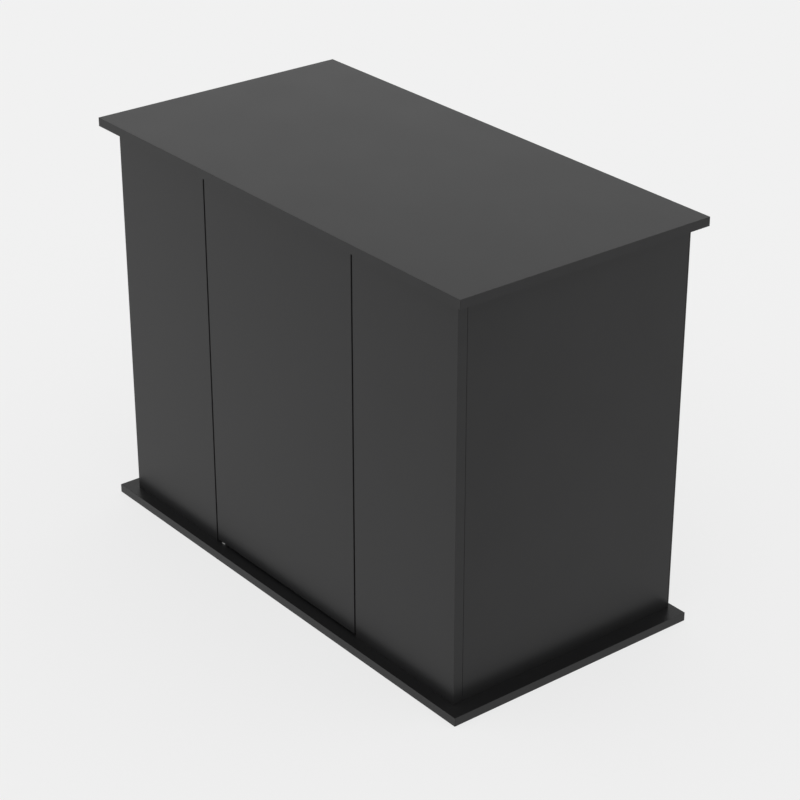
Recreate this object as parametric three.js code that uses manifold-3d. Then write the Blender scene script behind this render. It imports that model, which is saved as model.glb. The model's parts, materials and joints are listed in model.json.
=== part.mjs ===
// Aquarium stand cabinet, flat-packed in black melamine board.
//
// Millimetres, +X to the right, +Z up, the door faces -Y.
// The origin is the centre of the underside, on the floor.
//
// Two equal boards, base and top, hold a body of four uprights between them: two sides and two
// dividers. Two fixed panels and a door cover the uprights' front edges, flush with each other.
// The door turns on pins at its left edge and is held by a push latch at its right edge.

import * as THREE from 'three';
import { mergeVertices } from 'three/addons/utils/BufferGeometryUtils.js';
import Module from 'manifold-3d';

const wasm = await Module();
wasm.setup();

// ---- Driving dimensions -------------------------------------------------------------------

const WIDTH = 1000;
const DEPTH = 518;
const HEIGHT = 756;
const BOARD = 16; // base, top, sides, dividers and shelf
const FRONT = 18; // door and fixed front panels
const BACK = 3; // hardboard back sheets
const SIDE_OVERHANG = 30.5; // of the base and top past the sides
const FRONT_OVERHANG = 22.5; // past the front panels
const BACK_OVERHANG = 10; // past the back sheets
const JOINT = 0.3; // between pieces that touch

const DOOR_WIDTH = 409;
const DOOR_GAP = { side: 3.5, end: 5 }; // beside the door; below and above it

const PIVOT_INSET = 12; // pivot axis from the door's left edge
const PIVOT_SETBACK = 7.5; // pivot axis behind the door's face
const PIN_RADIUS = 2.5;
const PIN_REACH = 18; // above the board
const COLLAR = { radius: 6, thickness: 4.5 };
const BUSH = { radius: 4, bore: 2.6, length: 14 };

const SHELF = { pinZ: 420, front: -170, back: 238, sideGap: 2 };
const SHELF_HOLES = { pitch: 32, perColumn: 5, radius: 2.6, depth: 10 };
const SHELF_PIN_YS = [-150, 200];
const SHELF_PIN = { radius: 2.35, collar: 4, collarThickness: 1.2, tongue: 9, seat: 1 };

const WINDOW = { y: 20, z: 215, width: 240, height: 250, corner: 40 }; // in each divider
const HOSE_CUTOUT = { z: 610, width: 180, height: 100, corner: 20 }; // in the middle back sheet
const CABLE_HOLE = { x: 340, z: 600, radius: 30 }; // in each outer back sheet

const FIXING_YS = [-150, 180]; // cams above and screws below, in every upright
const CAM = { radius: 7.3, depth: 12.2, drop: 24, slot: 4 };
const CAM_POCKET = { radius: 7.6, depth: 12.6 };
const CAM_BOLT = { thread: 2.8, threadLength: 10.4, shank: 3.2, neck: 2, head: 3.5 };
const CONFIRMAT = { head: 4.9, shank: 3.4, thread: 2.9, length: 50, recess: 0.6, hex: 2.3 };
const DOWEL = { radius: 3.8, length: 30, inBoard: 9.5 };
const DOWEL_INSET = 60; // from each side edge of a fixed panel
const HOLE_GAP = 0.3; // between a fastener and its hole

const LATCH = { x: 165, y: -207, z: 726, width: 14, height: 14, length: 68, bore: 4.2 };
const LATCH_EARS = { reach: 18, front: 24, back: 44, thickness: 3, screwX: 12 };
const LATCH_SCREW = { head: 3.3, shank: 1.6, length: 14 };
const PLUNGER = { radius: 4, front: -6, back: 36 };
const MAGNET = { radius: 5, thickness: 3.4 };
const SPRING = { radius: 3.1, wire: 0.35, turns: 7, front: 37, back: 61 };
const STRIKE = { radius: 7, thickness: 1.2, stem: 2.3, stemLength: 9 };

const FINE = 24; // sides of turned pieces that show
const COARSE = 12; // sides of hidden fasteners and their holes

// ---- Planes that follow from them ---------------------------------------------------------

const BODY_X = WIDTH / 2 - SIDE_OVERHANG; // outer face of each side
const BODY_FRONT = -DEPTH / 2 + FRONT_OVERHANG; // face of the door and fixed panels
const BODY_BACK = DEPTH / 2 - BACK_OVERHANG;
const CARCASS_FRONT = BODY_FRONT + FRONT + JOINT; // front edges of the uprights
const CARCASS_BACK = BODY_BACK - BACK - JOINT; // back edges of the uprights
const CEILING = HEIGHT - BOARD; // underside of the top board
const BODY_LOW = BOARD + JOINT;
const BODY_HIGH = CEILING - JOINT;
const BAY_X = DOOR_WIDTH / 2 + DOOR_GAP.side; // inner face of each divider
const DOOR_LOW = BOARD + DOOR_GAP.end;
const DOOR_HIGH = CEILING - DOOR_GAP.end;
const PANEL_Y = BODY_FRONT + FRONT / 2;
const PIVOT_X = -DOOR_WIDTH / 2 + PIVOT_INSET;
const PIVOT_Y = BODY_FRONT + PIVOT_SETBACK;
const CAM_Z = CEILING - CAM.drop;
const LATCH_ROOF = CEILING - JOINT - LATCH.z; // top of the latch above its own axis
const LATCH_SCREW_Y = (LATCH_EARS.front + LATCH_EARS.back) / 2;
const LATCH_SCREW_HEAD_Z = CEILING - JOINT - LATCH_EARS.thickness - JOINT;

// The uprights from left to right. `facing` is the X direction of the face that holds the cams.
const UPRIGHTS = [
  { name: 'left_side', x: BOARD / 2 - BODY_X, facing: 1 },
  { name: 'left_divider', x: -BAY_X - BOARD / 2, facing: 1 },
  { name: 'right_divider', x: BAY_X + BOARD / 2, facing: -1 },
  { name: 'right_side', x: BODY_X - BOARD / 2, facing: -1 },
];
const DOWEL_XS = [-BODY_X + DOWEL_INSET, -BAY_X - DOWEL_INSET, BAY_X + DOWEL_INSET, BODY_X - DOWEL_INSET];

// ---- Materials ----------------------------------------------------------------------------

function finish(color, roughness, metalness) {
  return new THREE.MeshStandardMaterial({ color, roughness, metalness });
}

const melamine = finish(0x17171a, 0.45, 0);
const hardboard = finish(0x1b1a19, 0.7, 0);
const beech = finish(0xc9a171, 0.8, 0);
const nickel = finish(0xc4c2bc, 0.25, 1);
const zinc = finish(0xa5a7a8, 0.45, 1);
const nylon = finish(0xd9d6cc, 0.5, 0);
const blackPlastic = finish(0x1c1c1d, 0.55, 0);
const magnetPlate = finish(0x9b9b98, 0.35, 1);

// ---- Solids -------------------------------------------------------------------------------

// A closed solid from a geometry, without the flat triangles that lathes have on their axis.
function toSolid(geometry) {
  const bare = geometry.clone();
  bare.deleteAttribute('normal');
  bare.deleteAttribute('uv');
  const merged = mergeVertices(bare);
  const index = merged.index.array;
  const triangles = [];
  for (let i = 0; i < index.length; i += 3) {
    const [a, b, c] = index.slice(i, i + 3);
    if (a !== b && b !== c && c !== a) {
      triangles.push(a, b, c);
    }
  }
  const vertProperties = merged.attributes.position.array;
  return new wasm.Manifold(new wasm.Mesh({ numProp: 3, vertProperties, triVerts: new Uint32Array(triangles) }));
}

function toGeometry(solid) {
  const mesh = solid.getMesh();
  const geometry = new THREE.BufferGeometry();
  geometry.setAttribute('position', new THREE.BufferAttribute(mesh.vertProperties, 3));
  geometry.setIndex(new THREE.BufferAttribute(mesh.triVerts, 1));
  geometry.computeVertexNormals();
  return geometry;
}

function cut(geometry, cutters) {
  const solid = cutters.reduce((rest, cutter) => rest.subtract(toSolid(cutter)), toSolid(geometry));
  return toGeometry(solid);
}

function join(...geometries) {
  return toGeometry(geometries.map(toSolid).reduce((sum, part) => sum.add(part)));
}

// A box between two corners.
function block(low, high) {
  const geometry = new THREE.BoxGeometry(high[0] - low[0], high[1] - low[1], high[2] - low[2]);
  return geometry.translate((low[0] + high[0]) / 2, (low[1] + high[1]) / 2, (low[2] + high[2]) / 2);
}

// A cylinder or cone along Z, from z = low to z = high.
function rodZ(radius, low, high, x = 0, y = 0, sides = COARSE, highRadius = radius) {
  const geometry = new THREE.CylinderGeometry(highRadius, radius, high - low, sides);
  return geometry.rotateX(Math.PI / 2).translate(x, y, (low + high) / 2);
}

// A cylinder along X, from x = low to x = high.
function rodX(radius, low, high, y = 0, z = 0, sides = COARSE) {
  const geometry = new THREE.CylinderGeometry(radius, radius, high - low, sides);
  return geometry.rotateZ(-Math.PI / 2).translate((low + high) / 2, y, z);
}

// A cylinder along Y, from y = low to y = high.
function rodY(radius, low, high, x = 0, z = 0, sides = COARSE) {
  const geometry = new THREE.CylinderGeometry(radius, radius, high - low, sides);
  return geometry.translate(x, (low + high) / 2, z);
}

// A turned piece round Z from an outline of [radius, z] points that runs upwards.
function turned(outline, sides) {
  const points = outline.map(([radius, z]) => new THREE.Vector2(radius, z));
  return new THREE.LatheGeometry(points, sides).rotateX(Math.PI / 2);
}

// A rectangle with round corners, centred on the origin and extruded along Z by `depth`.
function roundedSlab(width, height, corner, depth) {
  const x = width / 2 - corner;
  const y = height / 2 - corner;
  const shape = new THREE.Shape();
  shape.absarc(x, y, corner, 0, Math.PI / 2);
  shape.absarc(-x, y, corner, Math.PI / 2, Math.PI);
  shape.absarc(-x, -y, corner, Math.PI, 1.5 * Math.PI);
  shape.absarc(x, -y, corner, 1.5 * Math.PI, 2 * Math.PI);
  return new THREE.ExtrudeGeometry(shape, { depth, bevelEnabled: false, curveSegments: 6 });
}

function piece(name, geometry, material, position = [0, 0, 0]) {
  const mesh = new THREE.Mesh(geometry, material);
  mesh.name = name;
  mesh.position.set(...position);
  return mesh;
}

// A sheet between two corners of the cabinet, with the cutters given in the cabinet's frame.
function board(name, material, low, high, cutters = []) {
  const centre = low.map((value, axis) => (value + high[axis]) / 2);
  const blank = block(low, high);
  const geometry = cutters.length > 0 ? cut(blank, cutters) : blank;
  geometry.translate(...centre.map((value) => -value));
  return piece(name, geometry, material, centre);
}

// ---- Boards -------------------------------------------------------------------------------

function dowelBores(low, high) {
  return DOWEL_XS.map((x) => rodZ(DOWEL.radius + HOLE_GAP, low, high, x, PANEL_Y));
}

function baseBoard() {
  const cutters = dowelBores(BOARD - DOWEL.inBoard - HOLE_GAP, BOARD + 1);
  cutters.push(rodZ(PIN_RADIUS + HOLE_GAP, BOARD - 10, BOARD + 1, PIVOT_X, PIVOT_Y));
  for (const { x } of UPRIGHTS) {
    for (const y of FIXING_YS) {
      cutters.push(rodZ(CONFIRMAT.shank + HOLE_GAP, -1, BOARD + 1, x, y));
      cutters.push(rodZ(CONFIRMAT.head + HOLE_GAP + 1, -1, 4, x, y, COARSE, CONFIRMAT.shank + HOLE_GAP));
    }
  }
  return board('base_board', melamine, [-WIDTH / 2, -DEPTH / 2, 0], [WIDTH / 2, DEPTH / 2, BOARD], cutters);
}

function topBoard() {
  const cutters = dowelBores(CEILING - 1, CEILING + DOWEL.inBoard + HOLE_GAP);
  cutters.push(rodZ(PIN_RADIUS + HOLE_GAP, CEILING - 1, CEILING + 10, PIVOT_X, PIVOT_Y));
  const boltTop = CEILING + CAM_BOLT.threadLength + HOLE_GAP;
  for (const { x } of UPRIGHTS) {
    for (const y of FIXING_YS) {
      cutters.push(rodZ(CAM_BOLT.thread + HOLE_GAP, CEILING - 1, boltTop, x, y));
    }
  }
  const screwTop = LATCH_SCREW_HEAD_Z + LATCH_SCREW.length + HOLE_GAP;
  for (const side of [-1, 1]) {
    const x = LATCH.x + side * LATCH_EARS.screwX;
    cutters.push(rodZ(LATCH_SCREW.shank + HOLE_GAP, CEILING - 1, screwTop, x, LATCH.y + LATCH_SCREW_Y));
  }
  return board('top_board', melamine, [-WIDTH / 2, -DEPTH / 2, CEILING], [WIDTH / 2, DEPTH / 2, HEIGHT], cutters);
}

// The pockets for the cams, the bores down to them from the top edge and the screw bores below.
function uprightBores({ x, facing }) {
  const face = x + (facing * BOARD) / 2;
  const ends = [face - facing * CAM_POCKET.depth, face + facing].sort((a, b) => a - b);
  return FIXING_YS.flatMap((y) => [
    rodX(CAM_POCKET.radius, ...ends, y, CAM_Z, FINE),
    rodZ(CAM_BOLT.head + HOLE_GAP, CAM_Z, CEILING, x, y),
    rodZ(CONFIRMAT.thread + HOLE_GAP, BOARD, CONFIRMAT.recess + CONFIRMAT.length + HOLE_GAP, x, y),
  ]);
}

// Two columns of holes for the shelf pins, in the face towards the middle bay.
function shelfPinHoles(facing) {
  const face = -facing * BAY_X;
  const ends = [face - facing * SHELF_HOLES.depth, face + facing].sort((a, b) => a - b);
  const holes = [];
  for (const y of SHELF_PIN_YS) {
    for (let i = 0; i < SHELF_HOLES.perColumn; i += 1) {
      const z = SHELF.pinZ + (i - 2) * SHELF_HOLES.pitch;
      holes.push(rodX(SHELF_HOLES.radius, ...ends, y, z));
    }
  }
  return holes;
}

// The opening through which each side bay is reached from the middle bay.
function dividerWindow(x) {
  const slab = roundedSlab(WINDOW.width, WINDOW.height, WINDOW.corner, BOARD + 2);
  slab.rotateX(Math.PI / 2).rotateZ(Math.PI / 2);
  return slab.translate(x - BOARD / 2 - 1, WINDOW.y, WINDOW.z);
}

function upright(spec) {
  const cutters = uprightBores(spec);
  if (spec.name.endsWith('divider')) {
    cutters.push(...shelfPinHoles(spec.facing), dividerWindow(spec.x));
  }
  const low = [spec.x - BOARD / 2, CARCASS_FRONT, BODY_LOW];
  const high = [spec.x + BOARD / 2, CARCASS_BACK, BODY_HIGH];
  return board(spec.name, melamine, low, high, cutters);
}

function frontPanel(name, side) {
  const inDowel = DOWEL.length - DOWEL.inBoard + HOLE_GAP;
  const cutters = [...dowelBores(BOARD, BOARD + inDowel), ...dowelBores(CEILING - inDowel, CEILING)];
  const [left, right] = [side * BAY_X, side * BODY_X].sort((a, b) => a - b);
  const low = [left, BODY_FRONT, BODY_LOW];
  const high = [right, BODY_FRONT + FRONT, BODY_HIGH];
  return board(name, melamine, low, high, cutters);
}

function door() {
  const bush = BUSH.radius + HOLE_GAP;
  const depth = BUSH.length + HOLE_GAP;
  const back = BODY_FRONT + FRONT;
  const stem = rodY(STRIKE.stem + HOLE_GAP, back - STRIKE.stemLength, back + 1, LATCH.x, LATCH.z);
  const cutters = [
    rodZ(bush, DOOR_LOW - 1, DOOR_LOW + depth, PIVOT_X, PIVOT_Y, FINE),
    rodZ(bush, DOOR_HIGH - depth, DOOR_HIGH + 1, PIVOT_X, PIVOT_Y, FINE),
    stem,
  ];
  const low = [-DOOR_WIDTH / 2, BODY_FRONT, DOOR_LOW];
  return board('door', melamine, low, [DOOR_WIDTH / 2, back, DOOR_HIGH], cutters);
}

function shelf() {
  const x = BAY_X - SHELF.sideGap;
  const low = SHELF.pinZ + SHELF_PIN.seat + JOINT;
  return board('shelf', melamine, [-x, SHELF.front, low], [x, SHELF.back, low + BOARD]);
}

// Three sheets that meet behind the middle of each divider.
function backSheets() {
  const seam = BAY_X + BOARD / 2;
  const front = BODY_BACK - BACK;
  const hose = roundedSlab(HOSE_CUTOUT.width, HOSE_CUTOUT.height, HOSE_CUTOUT.corner, BACK + 2);
  hose.rotateX(Math.PI / 2).translate(0, BODY_BACK + 1, HOSE_CUTOUT.z);
  const cable = (side) => rodY(CABLE_HOLE.radius, front - 1, BODY_BACK + 1, side * CABLE_HOLE.x, CABLE_HOLE.z, FINE);
  const sheet = (name, left, right, cutter) =>
    board(name, hardboard, [left, front, BODY_LOW], [right, BODY_BACK, BODY_HIGH], [cutter]);
  return [
    sheet('back_left', -BODY_X, -seam - JOINT, cable(-1)),
    sheet('back_centre', -seam, seam, hose),
    sheet('back_right', seam + JOINT, BODY_X, cable(1)),
  ];
}

// ---- Door pivots --------------------------------------------------------------------------

// A steel pin fixed in the base or top board. Its collar carries the door's bush.
function pivotPin(name, z, pointsDown) {
  const collarTop = COLLAR.thickness + 0.2;
  const outline = [
    [0, -9.7], [PIN_RADIUS, -9.7], [PIN_RADIUS, 0.2], [COLLAR.radius, 0.2],
    [COLLAR.radius, collarTop], [PIN_RADIUS, collarTop],
    [PIN_RADIUS, PIN_REACH - 1], [PIN_RADIUS - 0.6, PIN_REACH], [0, PIN_REACH],
  ];
  const pin = piece(name, turned(outline, FINE), nickel, [PIVOT_X, PIVOT_Y, z]);
  pin.rotation.x = pointsDown ? Math.PI : 0;
  return pin;
}

// A sleeve in the door's end that turns on the pin.
function pivotBush(name, z) {
  const { radius, bore, length } = BUSH;
  const outline = [[bore, 0], [radius, 0], [radius, length], [bore, length], [bore, 0]];
  return piece(name, turned(outline, FINE), nylon, [PIVOT_X, PIVOT_Y, z]);
}

// ---- Push latch ---------------------------------------------------------------------------

// The latch hangs under the top board. Its own frame starts at the middle of its front face.
function latchHousing() {
  const half = LATCH.width / 2;
  const body = block([-half, 0, -LATCH.height / 2], [half, LATCH.length, LATCH_ROOF]);
  const { reach, front, back, thickness, screwX } = LATCH_EARS;
  const ears = block([-reach, front, LATCH_ROOF - thickness], [reach, back, LATCH_ROOF]);
  const screwHole = (x) =>
    rodZ(LATCH_SCREW.shank + HOLE_GAP, LATCH_ROOF - 5, LATCH_ROOF + 1, x, LATCH_SCREW_Y);
  const cutters = [
    rodY(LATCH.bore, -1, LATCH.length - 6, 0, 0, FINE),
    screwHole(screwX),
    screwHole(-screwX),
  ];
  return piece('latch_housing', cut(join(body, ears), cutters), blackPlastic);
}

function latchPlunger() {
  const rod = rodY(PLUNGER.radius, PLUNGER.front, PLUNGER.back, 0, 0, FINE);
  return piece('latch_plunger', rod, nylon);
}

function latchMagnet() {
  const back = PLUNGER.front - JOINT;
  const disc = rodY(MAGNET.radius, back - MAGNET.thickness, back, 0, 0, FINE);
  return piece('latch_magnet', disc, magnetPlate);
}

class Helix extends THREE.Curve {
  constructor({ radius, turns, front, back }) {
    super();
    Object.assign(this, { radius, turns, front, back });
  }

  getPoint(t, target = new THREE.Vector3()) {
    const angle = 2 * Math.PI * this.turns * t;
    const y = this.front + (this.back - this.front) * t;
    return target.set(this.radius * Math.cos(angle), y, this.radius * Math.sin(angle));
  }
}

function latchSpring() {
  const wire = new THREE.Shape().absarc(0, 0, SPRING.wire, 0, 2 * Math.PI);
  const section = new THREE.Shape(wire.getPoints(5).slice(0, 5));
  const settings = { steps: SPRING.turns * 9, extrudePath: new Helix(SPRING), bevelEnabled: false };
  return piece('latch_spring', new THREE.ExtrudeGeometry(section, settings), zinc);
}

// A small screw that holds a latch ear up against the top board.
function latchScrew(name, side) {
  const { head, shank, length } = LATCH_SCREW;
  const outline = [
    [0, -1.8], [head - 0.9, -1.8], [head, -1], [head, 0], [shank, 0], [shank, length - 2], [0, length],
  ];
  const slot = block([-head - 1, -0.4, -3], [head + 1, 0.4, -1]);
  const place = [side * LATCH_EARS.screwX, LATCH_SCREW_Y, LATCH_SCREW_HEAD_Z - LATCH.z];
  return piece(name, cut(turned(outline, COARSE), [slot]), zinc, place);
}

function latch() {
  const group = new THREE.Group();
  group.position.set(LATCH.x, LATCH.y, LATCH.z);
  group.add(latchHousing(), latchPlunger(), latchMagnet(), latchSpring());
  group.add(latchScrew('latch_screw_left', -1), latchScrew('latch_screw_right', 1));
  return group;
}

// The steel disc on the door's inner face that the magnet holds, with a stem driven into the door.
function strikePlate() {
  const plate = rodY(STRIKE.radius, JOINT, JOINT + STRIKE.thickness, 0, 0, FINE);
  const stem = rodY(STRIKE.stem, 0.5 - STRIKE.stemLength, JOINT + STRIKE.thickness / 2);
  const place = [LATCH.x, BODY_FRONT + FRONT, LATCH.z];
  return piece('strike_plate', join(plate, stem), zinc, place);
}

// ---- Fasteners ----------------------------------------------------------------------------

// A cam in an upright's face: its axis is X and the bolt's head comes down into its slot.
function cam(name, { x, facing }, y) {
  const bolt = -BOARD / 2;
  const disc = rodX(CAM.radius, -CAM.depth, 0, 0, 0, FINE);
  const cutters = [
    block([-CAM.depth - 1, -CAM.slot, -CAM.slot], [bolt + CAM.slot, CAM.slot, CAM.radius + 1]),
    block([-2, -3.2, -0.7], [1, 3.2, 0.7]),
    block([-2, -0.7, -3.2], [1, 0.7, 3.2]),
  ];
  const mesh = piece(name, cut(disc, cutters), zinc, [x + (facing * BOARD) / 2, y, CAM_Z]);
  mesh.rotation.z = facing > 0 ? 0 : Math.PI;
  return mesh;
}

function camBolt(name, { x }, y) {
  const { thread, threadLength, shank, neck, head } = CAM_BOLT;
  const outline = [
    [0, -CAM.drop - 3], [head, -CAM.drop - 3], [head, -CAM.drop + 0.5], [neck, -CAM.drop + 2],
    [neck, -CAM.drop + 8], [shank, -CAM.drop + 9], [shank, -0.4], [thread, -0.4],
    [thread, threadLength - 0.8], [0, threadLength],
  ];
  return piece(name, turned(outline, COARSE), zinc, [x, y, CEILING]);
}

// A long screw with a countersunk head, up through the base board into an upright's foot.
function confirmat(name, { x }, y) {
  const { head, shank, thread, length, recess, hex } = CONFIRMAT;
  const outline = [
    [0, 0], [head, 0], [shank, 3], [shank, BOARD - 1.4], [thread, BOARD - 0.8],
    [thread, length - 4], [0, length],
  ];
  const socket = rodZ(hex, -1, 2.5, 0, 0, 6);
  return piece(name, cut(turned(outline, COARSE), [socket]), zinc, [x, y, recess]);
}

function panelDowel(name, x, low) {
  const { radius, length } = DOWEL;
  const outline = [[0, 0], [radius - 1, 0], [radius, 1], [radius, length - 1], [radius - 1, length], [0, length]];
  return piece(name, turned(outline, COARSE), beech, [x, PANEL_Y, low]);
}

// A pin in a divider's hole with a flat-topped tongue under the shelf.
function shelfPin(name, facing, y) {
  const { radius, collar, collarThickness, tongue, seat } = SHELF_PIN;
  const stem = rodX(radius, 0.5 - SHELF_HOLES.depth, 1);
  const disc = rodX(collar, 0.1, collarThickness, 0, 0, FINE);
  const support = cut(rodX(collar, 1, tongue, 0, 0, FINE), [block([0, -9, seat], [tongue + 1, 9, 9])]);
  const mesh = piece(name, join(stem, disc, support), nickel, [-facing * BAY_X, y, SHELF.pinZ]);
  mesh.rotation.z = facing > 0 ? 0 : Math.PI;
  return mesh;
}

// ---- Assembly -----------------------------------------------------------------------------

function carcass() {
  const group = new THREE.Group();
  group.add(baseBoard(), topBoard(), ...UPRIGHTS.map(upright), ...backSheets());
  group.add(frontPanel('left_front_panel', -1), frontPanel('right_front_panel', 1), shelf());
  return group;
}

function doorAssembly() {
  const group = new THREE.Group();
  group.add(door(), strikePlate());
  group.add(pivotBush('lower_pivot_bush', DOOR_LOW), pivotBush('upper_pivot_bush', DOOR_HIGH - BUSH.length));
  return group;
}

function fasteners() {
  const group = new THREE.Group();
  const ends = ['front', 'back'];
  for (const spec of UPRIGHTS) {
    FIXING_YS.forEach((y, i) => {
      group.add(cam(`cam_${spec.name}_${ends[i]}`, spec, y));
      group.add(camBolt(`cam_bolt_${spec.name}_${ends[i]}`, spec, y));
      group.add(confirmat(`confirmat_${spec.name}_${ends[i]}`, spec, y));
    });
  }
  SHELF_PIN_YS.forEach((y, i) => {
    group.add(shelfPin(`shelf_pin_left_${ends[i]}`, 1, y), shelfPin(`shelf_pin_right_${ends[i]}`, -1, y));
  });
  DOWEL_XS.forEach((x, i) => {
    group.add(panelDowel(`panel_dowel_lower_${i + 1}`, x, BOARD - DOWEL.inBoard));
    group.add(panelDowel(`panel_dowel_upper_${i + 1}`, x, CEILING + DOWEL.inBoard - DOWEL.length));
  });
  return group;
}

const cabinet = new THREE.Group();
cabinet.add(carcass(), doorAssembly(), latch(), fasteners());
cabinet.add(pivotPin('lower_pivot_pin', BOARD, false), pivotPin('upper_pivot_pin', CEILING, true));

export default cabinet;
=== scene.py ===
"""The looks of an aquarium stand cabinet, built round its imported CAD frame.

Metres, +X to the right, the door faces -Y, +Z up. Every piece takes its place from the CAD node
that it stands for.
"""

import json
import math

import bmesh
import bpy
from mathutils import Matrix, Vector

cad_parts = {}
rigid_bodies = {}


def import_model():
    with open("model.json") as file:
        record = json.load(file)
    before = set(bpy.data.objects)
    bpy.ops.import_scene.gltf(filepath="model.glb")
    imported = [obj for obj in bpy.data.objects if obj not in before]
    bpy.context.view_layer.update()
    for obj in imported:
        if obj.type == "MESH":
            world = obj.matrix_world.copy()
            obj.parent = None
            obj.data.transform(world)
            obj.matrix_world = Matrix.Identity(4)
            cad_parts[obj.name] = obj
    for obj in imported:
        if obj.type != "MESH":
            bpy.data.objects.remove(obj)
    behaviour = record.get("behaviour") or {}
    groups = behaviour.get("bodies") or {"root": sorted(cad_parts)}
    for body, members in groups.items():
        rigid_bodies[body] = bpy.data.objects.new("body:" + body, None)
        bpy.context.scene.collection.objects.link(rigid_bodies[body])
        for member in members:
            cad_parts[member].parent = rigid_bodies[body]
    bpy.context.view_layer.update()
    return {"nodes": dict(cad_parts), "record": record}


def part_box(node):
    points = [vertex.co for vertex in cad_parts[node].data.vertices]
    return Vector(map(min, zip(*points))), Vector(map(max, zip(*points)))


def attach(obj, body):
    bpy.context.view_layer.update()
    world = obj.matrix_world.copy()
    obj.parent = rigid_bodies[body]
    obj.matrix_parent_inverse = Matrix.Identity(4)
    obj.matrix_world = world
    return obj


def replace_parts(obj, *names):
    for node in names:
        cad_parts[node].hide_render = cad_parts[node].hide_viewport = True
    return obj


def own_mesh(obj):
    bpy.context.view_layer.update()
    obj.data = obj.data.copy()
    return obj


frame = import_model()

MM = 0.001
BANDING = 0.8 * MM  # thickness of the edge strips
BANDING_EASE = 0.12 * MM  # radius of their own edges
CORE_GAP = 0.03 * MM  # glue line between a strip and its board
CONTACT = 0.26 * MM  # how far the standing boards close the gap to the base and top boards
SEAM = 0.25 * MM  # how far the uprights' front edges stay back from the CAD's
BOARD_EASE = 0.25 * MM  # radius of the edges of a board without strips
BANDED_EASE = 0.08 * MM  # radius of the edges of a board with strips
HOLE_EASE = 0.15 * MM  # radius of a drilled hole's rim
EDGED_AREA = 50 * MM * MM  # walls right through a board larger than this have an edge strip
SAME = 0.02 * MM  # two coordinates this close are on one plane
WELD = 0.002 * MM  # two corners this close are one
CURVE_SHARE = 0.45  # the most of a side that the curve at one of its ends takes up
THREAD_FLANK = 1.7  # how steep the sides of a thread's groove are
FACING = 0.6  # cosine: a face is on a board's flat sides if it turns towards them this much
FLAT = math.radians(0.5)  # facets that turn less than this are one flat face
RIM = math.radians(40)  # edges that turn more than this are the rim of a hole
FINE, MEDIUM, COARSE = 64, 48, 32  # sides of turned pieces

BODY_OF = {
    node: body
    for body, members in frame["record"]["behaviour"]["bodies"].items()
    for node in members
}


# ---- Material nodes ---------------------------------------------------------------------------


class Surface:
    """A material with one Principled shader, and short calls for the nodes that feed it."""

    def __init__(self, name, **values):
        self.material = bpy.data.materials.new(name)
        self.material.use_nodes = True
        self.tree = self.material.node_tree
        self.shader = self.tree.nodes["Principled BSDF"]
        for socket, value in values.items():
            self.shader.inputs[socket.replace("_", " ")].default_value = value
        self.place = self.node("ShaderNodeTexCoord").outputs["Object"]

    def node(self, kind, **values):
        made = self.tree.nodes.new(kind)
        for name, value in values.items():
            setattr(made, name, value)
        return made

    def feed(self, socket, source):
        self.tree.links.new(source, self.shader.inputs[socket])

    def stretched(self, scale):
        """The object's own coordinates, scaled differently along each axis."""
        mapping = self.node("ShaderNodeMapping")
        mapping.inputs["Scale"].default_value = scale
        self.tree.links.new(self.place, mapping.inputs["Vector"])
        return mapping.outputs["Vector"]

    def noise(self, scale, detail=2.0, roughness=0.5, along=None):
        made = self.node("ShaderNodeTexNoise")
        made.inputs["Scale"].default_value = scale
        made.inputs["Detail"].default_value = detail
        made.inputs["Roughness"].default_value = roughness
        self.tree.links.new(along or self.place, made.inputs["Vector"])
        return made.outputs["Fac"]

    def cells(self, scale):
        """A random shade for each small cell."""
        made = self.node("ShaderNodeTexVoronoi", feature="F1")
        made.inputs["Scale"].default_value = scale
        self.tree.links.new(self.place, made.inputs["Vector"])
        shade = self.node("ShaderNodeRGBToBW")
        self.tree.links.new(made.outputs["Color"], shade.inputs[0])
        return shade.outputs[0]

    def spread(self, source, low, high, from_low=0.3, from_high=0.7):
        """Stretches a noise's usual range to the range low to high."""
        made = self.node("ShaderNodeMapRange")
        for socket, value in zip(made.inputs[1:5], (from_low, from_high, low, high)):
            socket.default_value = value
        self.tree.links.new(source, made.inputs["Value"])
        return made.outputs["Result"]

    def ramp(self, source, *stops):
        made = self.node("ShaderNodeValToRGB")
        elements = made.color_ramp.elements
        while len(elements) < len(stops):
            elements.new(0.5)
        for element, (position, color) in zip(elements, stops):
            element.position = position
            element.color = (*color, 1)
        self.tree.links.new(source, made.inputs["Fac"])
        return made.outputs["Color"]

    def mix(self, factor, first, second):
        made = self.node("ShaderNodeMix", data_type="RGBA")
        self.tree.links.new(factor, made.inputs["Factor"])
        self.tree.links.new(first, made.inputs["A"])
        self.tree.links.new(second, made.inputs["B"])
        return made.outputs["Result"]

    def add(self, first, second, weight=1.0):
        made = self.node("ShaderNodeMath", operation="MULTIPLY_ADD")
        self.tree.links.new(second, made.inputs[0])
        made.inputs[1].default_value = weight
        self.tree.links.new(first, made.inputs[2])
        return made.outputs[0]

    def bump(self, height, distance, strength=1.0):
        made = self.node("ShaderNodeBump")
        made.inputs["Strength"].default_value = strength
        made.inputs["Distance"].default_value = distance
        self.tree.links.new(height, made.inputs["Height"])
        self.feed("Normal", made.outputs["Normal"])


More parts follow.
